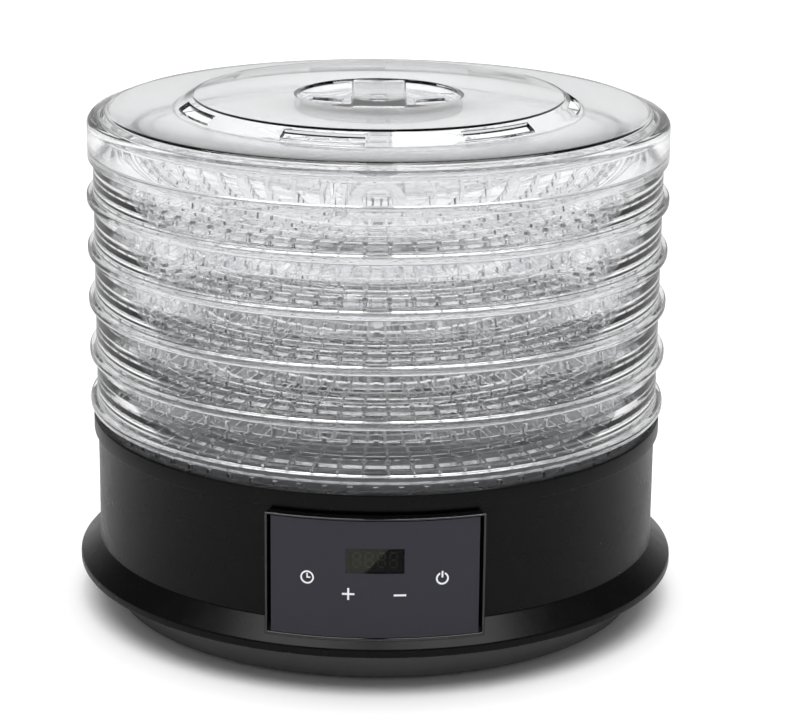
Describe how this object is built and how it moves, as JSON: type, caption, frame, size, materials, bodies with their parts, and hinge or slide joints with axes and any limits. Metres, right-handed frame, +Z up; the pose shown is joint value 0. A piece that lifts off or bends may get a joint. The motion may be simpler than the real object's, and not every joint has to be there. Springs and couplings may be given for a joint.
{
  "type": "food dehydrator",
  "caption": "Round electric food dehydrator: black base with fan, heater and touch panel, clear stacking trays with grid floors and a clear vented lid.",
  "frame": {"origin": "on the table, at the axis of the round stack", "axes": "+Z up along the stack's axis, the control panel faces -Y, +X to the right of someone facing the panel"},
  "size_m": [0.33, 0.33, 0.2803],
  "materials": {
    "satin_black": "satin moulded black",
    "ring_grey": "dark grey moulded plastic",
    "gloss_black": "gloss black bezel",
    "fascia_gloss": "gloss blue-grey black",
    "display_black": "dark display window",
    "print_white": "white print",
    "digit_grey": "unlit display figures",
    "module_plastic": "display housing",
    "circuit_board": "green laminate",
    "contact_brass": "sprung contacts",
    "bush_rubber": "moulded rubber",
    "foot_rubber": "moulded rubber",
    "screw_steel": "plated steel",
    "sheet_steel": "plain sheet steel",
    "motor_steel": "pressed can",
    "shaft_steel": "ground shaft",
    "thermostat_metal": "pressed cap",
    "fuse_ceramic": "pale ceramic",
    "mica_board": "layered mica",
    "coil_wire": "oxidised resistance wire",
    "sensor_black": "epoxy bead",
    "deck_plastic": "heat resistant black",
    "wheel_plastic": "heat resistant grey-black",
    "parts_blue": "moulded component cases",
    "terminal_plastic": "cream plastic",
    "wire_red": "silicone insulation",
    "clear_plastic": "clear moulded plastic"
  },
  "bodies": {
    "base": {"base_shell": "satin_black", "lower_ring": "ring_grey", "base_bottom": "ring_grey", "inner_pillars": "ring_grey", "rubber_feet": "foot_rubber", "bottom_screws": "screw_steel", "air_deck": "deck_plastic", "outlet_grille": "deck_plastic", "panel_frame": "gloss_black", "panel_fascia": "fascia_gloss", "panel_marks": "print_white", "display_window": "display_black", "display_digits": "digit_grey", "display_module": "module_plastic", "control_board": "circuit_board", "touch_springs": "contact_brass", "cord_inlet": "bush_rubber", "heat_shield": "sheet_steel", "shield_screws": "screw_steel", "heater_frame": "mica_board", "heater_coil": "coil_wire", "thermostat": "thermostat_metal", "thermal_fuse": "fuse_ceramic", "air_sensor": "sensor_black", "motor_bracket": "sheet_steel", "bracket_screws": "screw_steel", "fan_motor": "motor_steel", "motor_screws": "screw_steel", "power_board": "circuit_board", "power_parts": "parts_blue", "board_screws": "screw_steel", "terminal_block": "terminal_plastic", "wiring": "wire_red"},
    "fan_rotor": {"fan_shaft": "shaft_steel", "fan_wheel": "wheel_plastic", "shaft_nut": "screw_steel"},
    "tray_5": {"tray_5": "clear_plastic"},
    "tray_4": {"tray_4": "clear_plastic"},
    "tray_3": {"tray_3": "clear_plastic"},
    "tray_2": {"tray_2": "clear_plastic"},
    "tray_1": {"tray_1": "clear_plastic"},
    "lid": {"lid": "clear_plastic"},
    "vent_dial": {"vent_dial": "clear_plastic", "dial_clip": "screw_steel"}
  },
  "joints": [
    {"name": "fan_spin", "type": "hinge", "parent": "base", "child": "fan_rotor", "pos_m": [0, 0, 0.06], "axis": [0, 0, 1], "continuous": true},
    {"name": "tray_5_lift", "type": "slide", "parent": "base", "child": "tray_5", "axis": [0, 0, 1], "range_m": [0, 0.045]},
    {"name": "tray_4_lift", "type": "slide", "parent": "tray_5", "child": "tray_4", "axis": [0, 0, 1], "range_m": [0, 0.045]},
    {"name": "tray_3_lift", "type": "slide", "parent": "tray_4", "child": "tray_3", "axis": [0, 0, 1], "range_m": [0, 0.045]},
    {"name": "tray_2_lift", "type": "slide", "parent": "tray_3", "child": "tray_2", "axis": [0, 0, 1], "range_m": [0, 0.045]},
    {"name": "tray_1_lift", "type": "slide", "parent": "tray_2", "child": "tray_1", "axis": [0, 0, 1], "range_m": [0, 0.045]},
    {"name": "lid_lift", "type": "slide", "parent": "tray_1", "child": "lid", "axis": [0, 0, 1], "range_m": [0, 0.045]},
    {"name": "vent_dial_turn", "type": "hinge", "parent": "lid", "child": "vent_dial", "pos_m": [0, 0, 0.2735], "axis": [0, 0, 1], "range_deg": [0, 50]}
  ]
}
